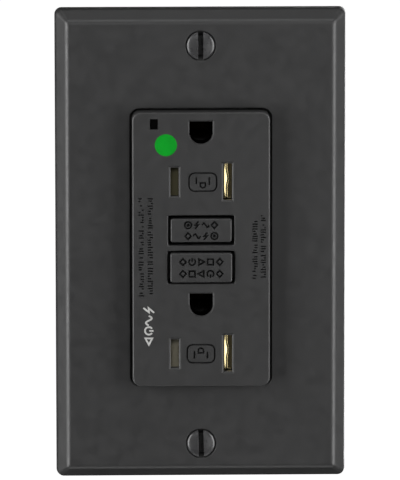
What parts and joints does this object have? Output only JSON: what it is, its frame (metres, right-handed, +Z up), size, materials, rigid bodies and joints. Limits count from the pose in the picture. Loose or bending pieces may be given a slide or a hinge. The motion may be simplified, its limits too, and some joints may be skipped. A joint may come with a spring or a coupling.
{
  "type": "duplex wall outlet",
  "caption": "Charcoal duplex wall outlet with rectangular face, shuttered grounded sockets, test and reset buttons, steel strap, screw terminals and a bevelled wall plate.",
  "frame": {"origin": "where the outlet's centre line meets the wall surface, level with the middle of the wall plate", "axes": "+Z up; the face looks along -Y; +Y goes into the wall box; +X is to the right seen from the front"},
  "size_m": [0.0698, 0.0409, 0.1142],
  "materials": {
    "charcoal_plastic": "fine satin moulded thermoplastic, charcoal",
    "case_plastic": "moulded thermoplastic, mid grey, lightly textured",
    "white_nylon": "natural white nylon",
    "shutter_plastic": "olive to tan moulded acetal",
    "light_pipe": "smoked polycarbonate",
    "painted_screw": "charcoal enamel over steel, slightly glossy",
    "zinc_plated_steel": "bright zinc plating",
    "brass": "plain spring brass, lightly tarnished",
    "nickel_plating": "nickel plating over brass",
    "copper_winding": "enamelled copper wire",
    "green_plating": "green dyed plating over steel",
    "circuit_board": "green solder mask over glass-fibre laminate",
    "fibre_washer": "vulcanised fibre, matt",
    "varistor_coating": "dipped epoxy, blue",
    "black_epoxy": "black moulded epoxy",
    "green_print": "green printed dot",
    "white_print": "white pad-printed ink"
  },
  "bodies": {
    "receptacle": {"wall_plate": "charcoal_plastic", "front_cover": "charcoal_plastic", "plate_screw_upper": "painted_screw", "plate_screw_lower": "painted_screw", "reset_spring": "zinc_plated_steel", "latch_spring": "zinc_plated_steel", "test_leaf": "brass", "indicator_light_pipe": "light_pipe", "indicator_lamp": "white_nylon", "mounting_strap": "zinc_plated_steel", "mounting_screw_upper": "zinc_plated_steel", "mounting_screw_lower": "zinc_plated_steel", "screw_retainer_upper": "fibre_washer", "screw_retainer_lower": "fibre_washer", "ground_contact_upper": "brass", "ground_contact_lower": "brass", "middle_housing": "case_plastic", "rear_case": "case_plastic", "circuit_board": "circuit_board", "load_bus_hot": "brass", "load_bus_neutral": "brass", "line_terminal_hot": "brass", "line_terminal_neutral": "brass", "solenoid_bobbin": "black_epoxy", "solenoid_coil": "copper_winding", "current_transformer": "black_epoxy", "varistor": "varistor_coating", "controller_chip": "black_epoxy", "shutter_frame_upper": "white_nylon", "shutter_spring_upper": "zinc_plated_steel", "shutter_frame_lower": "white_nylon", "shutter_spring_lower": "zinc_plated_steel", "case_screw_upper_left": "zinc_plated_steel", "case_screw_upper_right": "zinc_plated_steel", "case_screw_lower_left": "zinc_plated_steel", "case_screw_lower_right": "zinc_plated_steel"},
    "test_button": {"test_button": "charcoal_plastic"},
    "reset_button": {"reset_button": "charcoal_plastic", "reset_stem": "zinc_plated_steel"},
    "lifter": {"lifter": "white_nylon"},
    "contact_arm_hot": {"contact_arm_hot": "brass"},
    "contact_arm_neutral": {"contact_arm_neutral": "brass"},
    "latch": {"latch_plate": "zinc_plated_steel"},
    "plunger": {"solenoid_plunger": "zinc_plated_steel"},
    "hot_shutter_upper": {"hot_shutter_upper": "shutter_plastic"},
    "neutral_shutter_upper": {"neutral_shutter_upper": "shutter_plastic", "shutter_leaf_upper": "brass"},
    "hot_shutter_lower": {"hot_shutter_lower": "shutter_plastic"},
    "neutral_shutter_lower": {"neutral_shutter_lower": "shutter_plastic", "shutter_leaf_lower": "brass"},
    "line_hot_screw": {"line_hot_screw": "brass"},
    "line_hot_clamp": {"line_hot_clamp": "nickel_plating"},
    "line_neutral_screw": {"line_neutral_screw": "nickel_plating"},
    "line_neutral_clamp": {"line_neutral_clamp": "nickel_plating"},
    "load_hot_screw": {"load_hot_screw": "brass"},
    "load_hot_clamp": {"load_hot_clamp": "nickel_plating"},
    "load_neutral_screw": {"load_neutral_screw": "nickel_plating"},
    "load_neutral_clamp": {"load_neutral_clamp": "nickel_plating"},
    "ground_screw": {"ground_screw": "green_plating"},
    "ground_clamp": {"ground_clamp": "nickel_plating"}
  },
  "joints": [
    {"name": "test_press", "type": "slide", "parent": "receptacle", "child": "test_button", "axis": [0, 1, 0], "range_m": [0, 0.0012], "stiffness_N_per_m": 600, "springref_m": -0.0015, "deforming": ["test_leaf"]},
    {"name": "reset_press", "type": "slide", "parent": "receptacle", "child": "reset_button", "axis": [0, 1, 0], "range_m": [0, 0.0015], "stiffness_N_per_m": 900, "springref_m": -0.0015, "deforming": ["reset_spring"]},
    {"name": "lifter_travel", "type": "slide", "parent": "receptacle", "child": "lifter", "axis": [0, 1, 0], "range_m": [0, 0.0015]},
    {"name": "arm_hot_swing", "type": "hinge", "parent": "receptacle", "child": "contact_arm_hot", "pos_m": [-0.00635, 0.0156, 0.0089], "axis": [1, 0, 0], "range_deg": [0, 6.6]},
    {"name": "arm_neutral_swing", "type": "hinge", "parent": "receptacle", "child": "contact_arm_neutral", "pos_m": [0.00635, 0.0156, 0.0089], "axis": [1, 0, 0], "range_deg": [0, 6.6]},
    {"name": "latch_slide", "type": "slide", "parent": "lifter", "child": "latch", "axis": [0, 0, 1], "range_m": [0, 0.001], "deforming": ["latch_spring"]},
    {"name": "plunger_stroke", "type": "slide", "parent": "receptacle", "child": "plunger", "axis": [0, 0, 1], "range_m": [0, 0.001], "stiffness_N_per_m": 120, "springref_m": -0.0006},
    {"name": "hot_shutter_upper_slide", "type": "slide", "parent": "receptacle", "child": "hot_shutter_upper", "axis": [1, 0, 0], "range_m": [0, 0.0032], "stiffness_N_per_m": 150, "springref_m": -0.001, "deforming": ["shutter_spring_upper"]},
    {"name": "neutral_shutter_upper_slide", "type": "slide", "parent": "receptacle", "child": "neutral_shutter_upper", "axis": [-1, 0, 0], "range_m": [0, 0.0032], "stiffness_N_per_m": 150, "springref_m": -0.001, "deforming": ["shutter_spring_upper"]},
    {"name": "hot_shutter_lower_slide", "type": "slide", "parent": "receptacle", "child": "hot_shutter_lower", "axis": [1, 0, 0], "range_m": [0, 0.0032], "stiffness_N_per_m": 150, "springref_m": -0.001, "deforming": ["shutter_spring_lower"]},
    {"name": "neutral_shutter_lower_slide", "type": "slide", "parent": "receptacle", "child": "neutral_shutter_lower", "axis": [-1, 0, 0], "range_m": [0, 0.0032], "stiffness_N_per_m": 150, "springref_m": -0.001, "deforming": ["shutter_spring_lower"]},
    {"name": "line_hot_screw_turn", "type": "hinge", "parent": "receptacle", "child": "line_hot_screw", "pos_m": [-0.0197, 0.009, 0.012], "axis": [-1, 0, 0], "range_deg": [0, 1000]},
    {"name": "line_hot_clamp_slide", "type": "slide", "parent": "receptacle", "child": "line_hot_clamp", "axis": [1, 0, 0], "range_m": [0, 0.0022]},
    {"name": "line_neutral_screw_turn", "type": "hinge", "parent": "receptacle", "child": "line_neutral_screw", "pos_m": [0.0197, 0.009, 0.012], "axis": [1, 0, 0], "range_deg": [0, 1000]},
    {"name": "line_neutral_clamp_slide", "type": "slide", "parent": "receptacle", "child": "line_neutral_clamp", "axis": [-1, 0, 0], "range_m": [0, 0.0022]},
    {"name": "load_hot_screw_turn", "type": "hinge", "parent": "receptacle", "child": "load_hot_screw", "pos_m": [-0.0197, 0.009, -0.012], "axis": [-1, 0, 0], "range_deg": [0, 1000]},
    {"name": "load_hot_clamp_slide", "type": "slide", "parent": "receptacle", "child": "load_hot_clamp", "axis": [1, 0, 0], "range_m": [0, 0.0022]},
    {"name": "load_neutral_screw_turn", "type": "hinge", "parent": "receptacle", "child": "load_neutral_screw", "pos_m": [0.0197, 0.009, -0.012], "axis": [1, 0, 0], "range_deg": [0, 1000]},
    {"name": "load_neutral_clamp_slide", "type": "slide", "parent": "receptacle", "child": "load_neutral_clamp", "axis": [-1, 0, 0], "range_m": [0, 0.0022]},
    {"name": "ground_screw_turn", "type": "hinge", "parent": "receptacle", "child": "ground_screw", "pos_m": [0.011, 0.0052, -0.0365], "axis": [0, 0, -1], "range_deg": [0, 1000]},
    {"name": "ground_clamp_slide", "type": "slide", "parent": "receptacle", "child": "ground_clamp", "axis": [0, 0, 1], "range_m": [0, 0.0022]}
  ],
  "couplings": [
    {"joint": "lifter_travel", "follows": "reset_press", "ratio": 1},
    {"joint": "arm_hot_swing", "follows": "reset_press", "rad_per_m": 73},
    {"joint": "arm_neutral_swing", "follows": "reset_press", "rad_per_m": 73},
    {"joint": "latch_slide", "follows": "plunger_stroke", "ratio": 1},
    {"joint": "line_hot_screw_turn", "follows": "line_hot_clamp_slide", "rad_per_m": 7915.8},
    {"joint": "line_neutral_screw_turn", "follows": "line_neutral_clamp_slide", "rad_per_m": 7915.8},
    {"joint": "load_hot_screw_turn", "follows": "load_hot_clamp_slide", "rad_per_m": 7915.8},
    {"joint": "load_neutral_screw_turn", "follows": "load_neutral_clamp_slide", "rad_per_m": 7915.8},
    {"joint": "ground_screw_turn", "follows": "ground_clamp_slide", "rad_per_m": 7915.8}
  ]
}
